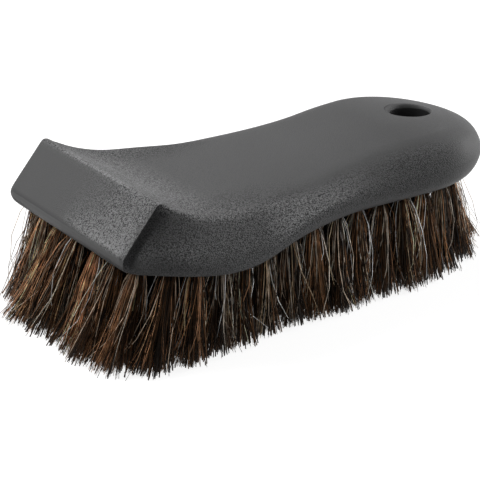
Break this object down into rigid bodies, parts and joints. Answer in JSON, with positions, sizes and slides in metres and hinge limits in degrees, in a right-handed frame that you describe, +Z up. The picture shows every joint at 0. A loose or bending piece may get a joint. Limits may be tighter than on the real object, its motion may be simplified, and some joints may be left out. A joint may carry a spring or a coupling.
{
  "type": "leather cleaning brush",
  "caption": "Palm-grip brush with a moulded block, sloping nose plate, hang hole and natural-hair tufts held by wire staples, for cleaning leather.",
  "frame": {"origin": "on the surface under the bristle tips, at the middle of the whole brush's length and width", "axes": "+X along the brush from the nose plate to the rear end with the hang hole, +Z up from the bristle tips to the grip, +Y to the left when looking along +X"},
  "size_m": [0.1436, 0.0882, 0.0441],
  "materials": {
    "charcoal_plastic": "fine moulded grain, satin",
    "hair_nose": "natural hair, dark with auburn and grey strands",
    "hair_front": "natural hair, dark brown",
    "hair_middle": "natural hair, near black",
    "hair_rear": "natural hair, dark brown with grey strands",
    "staple_wire": "drawn wire"
  },
  "bodies": {
    "root": {"handle_block": "charcoal_plastic", "bristles_nose": "hair_nose", "bristles_front": "hair_front", "bristles_middle": "hair_middle", "bristles_rear": "hair_rear", "staple_01": "staple_wire", "staple_02": "staple_wire", "staple_03": "staple_wire", "staple_04": "staple_wire", "staple_05": "staple_wire", "staple_06": "staple_wire", "staple_07": "staple_wire", "staple_08": "staple_wire", "staple_09": "staple_wire", "staple_10": "staple_wire", "staple_11": "staple_wire", "staple_12": "staple_wire", "staple_13": "staple_wire", "staple_14": "staple_wire", "staple_15": "staple_wire", "staple_16": "staple_wire", "staple_17": "staple_wire", "staple_18": "staple_wire", "staple_19": "staple_wire", "staple_20": "staple_wire", "staple_21": "staple_wire", "staple_22": "staple_wire", "staple_23": "staple_wire", "staple_24": "staple_wire", "staple_25": "staple_wire", "staple_26": "staple_wire", "staple_27": "staple_wire", "staple_28": "staple_wire", "staple_29": "staple_wire", "staple_30": "staple_wire", "staple_31": "staple_wire", "staple_32": "staple_wire", "staple_33": "staple_wire", "staple_34": "staple_wire", "staple_35": "staple_wire", "staple_36": "staple_wire", "staple_37": "staple_wire", "staple_38": "staple_wire", "staple_39": "staple_wire", "staple_40": "staple_wire", "staple_41": "staple_wire", "staple_42": "staple_wire", "staple_43": "staple_wire", "staple_44": "staple_wire", "staple_45": "staple_wire", "staple_46": "staple_wire", "staple_47": "staple_wire", "staple_48": "staple_wire", "staple_49": "staple_wire", "staple_50": "staple_wire", "staple_51": "staple_wire", "staple_52": "staple_wire", "staple_53": "staple_wire"}
  },
  "joints": []
}
